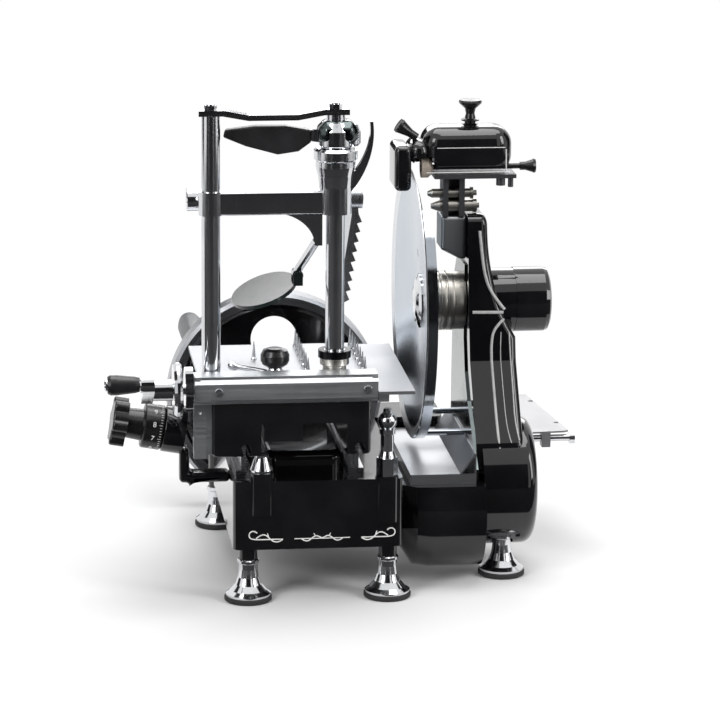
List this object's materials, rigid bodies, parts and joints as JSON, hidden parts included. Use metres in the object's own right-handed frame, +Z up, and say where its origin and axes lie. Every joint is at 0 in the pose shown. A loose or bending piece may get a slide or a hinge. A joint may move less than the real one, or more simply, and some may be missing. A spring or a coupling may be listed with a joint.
{
  "type": "hand crank meat slicer",
  "caption": "Hand-cranked slicer: a flywheel turns a round dished knife through hidden gears and a chain while a sliding carriage with a spiked table and clamp carries the meat past it",
  "frame": {"origin": "on the counter, under the middle of the whole machine's outline", "axes": "+Z up; knife axis along +X, pointing away from the meat; carriage travel and flywheel axis along +Y, pointing away from the operator's front view"},
  "size_m": [0.541, 0.5936, 0.5375],
  "materials": {
    "enamel": "black gloss enamel on cast iron",
    "chrome": "polished chrome plate",
    "steel": "ground bright steel",
    "stainless": "polished stainless sheet",
    "nickel": "satin nickel plate",
    "knife_steel": "mirror ground knife steel",
    "dark_steel": "oiled dark steel",
    "black_plastic": "moulded black knob",
    "grey_plastic": "grey moulded grip",
    "rubber": "black rubber",
    "stone_grit": "bonded abrasive"
  },
  "bodies": {
    "frame": {"base_casting": "enamel", "gear_cover": "enamel", "chrome_feet": "chrome", "rubber_pads": "rubber", "left_fitting": "chrome", "oiler": "chrome", "gear_case": "enamel", "gear_case_end": "enamel", "column_casting": "enamel", "drum_lid": "enamel", "spindle_cap": "chrome", "drive_chain": "dark_steel", "knife_guard": "stainless", "side_plate": "stainless", "slice_tray": "stainless", "sharpener_bracket": "enamel", "plate_rod": "chrome", "guide_rails": "steel", "dial_bracket": "enamel"},
    "flywheel_set": {"flywheel": "enamel", "flywheel_shaft": "steel", "wheel_fixings": "chrome"},
    "wheel_grip": {"flywheel_grip": "grey_plastic"},
    "lay_set": {"lay_shaft": "steel"},
    "cross_set": {"cross_shaft": "steel"},
    "knife_set": {"knife": "knife_steel", "knife_cap": "chrome", "knife_screws": "steel", "knife_spindle": "steel"},
    "carriage": {"carriage_body": "enamel", "front_rail": "chrome", "table_plate": "stainless", "pawl_bar": "steel"},
    "feed_crank_set": {"feed_screw": "chrome", "ratchet_wheel": "dark_steel", "feed_crank": "chrome"},
    "crank_handle": {"crank_grip": "black_plastic"},
    "feed_table": {"feed_plate": "stainless", "posts": "chrome", "top_strap": "chrome", "cap_nuts": "chrome", "feed_spikes": "chrome"},
    "table_lock": {"table_lock_knob": "black_plastic", "table_lever": "chrome"},
    "meat_clamp": {"clamp_arm": "chrome", "pivot_rod": "chrome"},
    "lock_lever": {"clamp_lever": "chrome", "lever_grip": "black_plastic"},
    "saw_plate": {"toothed_plate": "stainless"},
    "oval_plate": {"press_plate": "stainless"},
    "sharpener_head": {"sharpener_frame": "steel", "stone_plungers": "nickel", "sharpener_cover": "enamel", "top_knob": "black_plastic"},
    "stone": {"stone_knob": "black_plastic", "grinding_stone": "stone_grit"},
    "shoulder_knob": {"tilted_knob": "black_plastic"},
    "catch_plate": {"slice_plate": "stainless"},
    "dial": {"dial_drum": "black_plastic", "dial_knob": "black_plastic"}
  },
  "joints": [
    {"name": "flywheel_spin", "type": "hinge", "parent": "frame", "child": "flywheel_set", "pos_m": [-0.055, 0.158, 0.13], "axis": [0, 1, 0], "continuous": true},
    {"name": "wheel_grip_spin", "type": "hinge", "parent": "flywheel_set", "child": "wheel_grip", "pos_m": [-0.145, 0.23, 0.192], "axis": [0, 1, 0], "continuous": true},
    {"name": "lay_spin", "type": "hinge", "parent": "frame", "child": "lay_set", "pos_m": [-0.055, -0.03, 0.098], "axis": [0, 1, 0], "continuous": true},
    {"name": "cross_spin", "type": "hinge", "parent": "frame", "child": "cross_set", "pos_m": [0.06, -0.118, 0.098], "axis": [1, 0, 0], "continuous": true},
    {"name": "knife_spin", "type": "hinge", "parent": "frame", "child": "knife_set", "pos_m": [0.1, -0.058, 0.288], "axis": [1, 0, 0], "continuous": true},
    {"name": "carriage_slide", "type": "slide", "parent": "frame", "child": "carriage", "axis": [0, 1, 0], "range_m": [0, 0.17]},
    {"name": "feed_crank_turn", "type": "hinge", "parent": "carriage", "child": "feed_crank_set", "pos_m": [-0.1, -0.246, 0.239], "axis": [1, 0, 0], "range_deg": [0, 3600]},
    {"name": "crank_grip_spin", "type": "hinge", "parent": "feed_crank_set", "child": "crank_handle", "pos_m": [-0.25, -0.286, 0.255], "axis": [1, 0, 0], "continuous": true},
    {"name": "table_feed", "type": "slide", "parent": "carriage", "child": "feed_table", "axis": [1, 0, 0], "range_m": [0, 0.04]},
    {"name": "table_lock_turn", "type": "hinge", "parent": "feed_table", "child": "table_lock", "pos_m": [-0.088, -0.205, 0.25], "axis": [0, 0, 1], "range_deg": [-60, 0]},
    {"name": "clamp_slide", "type": "slide", "parent": "feed_table", "child": "meat_clamp", "axis": [0, 0, 1], "range_m": [-0.035, 0.004]},
    {"name": "clamp_lever_turn", "type": "hinge", "parent": "meat_clamp", "child": "lock_lever", "pos_m": [-0.026, -0.219, 0.504], "axis": [0, 0, 1], "range_deg": [-70, 0]},
    {"name": "saw_plate_swing", "type": "hinge", "parent": "meat_clamp", "child": "saw_plate", "pos_m": [0, -0.19, 0.431], "axis": [1, 0, 0], "range_deg": [-2, 25]},
    {"name": "press_plate_tilt", "type": "hinge", "parent": "meat_clamp", "child": "oval_plate", "pos_m": [-0.062, -0.178, 0.346], "axis": [0, 1, 0], "range_deg": [-10, 15]},
    {"name": "sharpener_lift", "type": "slide", "parent": "frame", "child": "sharpener_head", "axis": [0, 0, 1], "range_m": [0, 0.025]},
    {"name": "stone_push", "type": "slide", "parent": "sharpener_head", "child": "stone", "axis": [1, 0, 0], "range_m": [-0.005, 0]},
    {"name": "shoulder_knob_turn", "type": "hinge", "parent": "sharpener_head", "child": "shoulder_knob", "pos_m": [0.081, -0.058, 0.471], "axis": [-0.8192, 0, 0.5736], "continuous": true},
    {"name": "catch_plate_tilt", "type": "hinge", "parent": "frame", "child": "catch_plate", "pos_m": [0.235, -0.028, 0.12], "axis": [1, 0, 0], "range_deg": [0, 80]},
    {"name": "dial_turn", "type": "hinge", "parent": "frame", "child": "dial", "pos_m": [-0.18, -0.178, 0.176], "axis": [-0.9848, 0, 0.1736], "range_deg": [0, 300]}
  ],
  "couplings": [
    {"joint": "lay_spin", "follows": "flywheel_spin", "ratio": -2},
    {"joint": "cross_spin", "follows": "flywheel_spin", "ratio": 3},
    {"joint": "knife_spin", "follows": "flywheel_spin", "ratio": 4.5},
    {"joint": "feed_crank_turn", "follows": "table_feed", "rad_per_m": 1570.8}
  ]
}
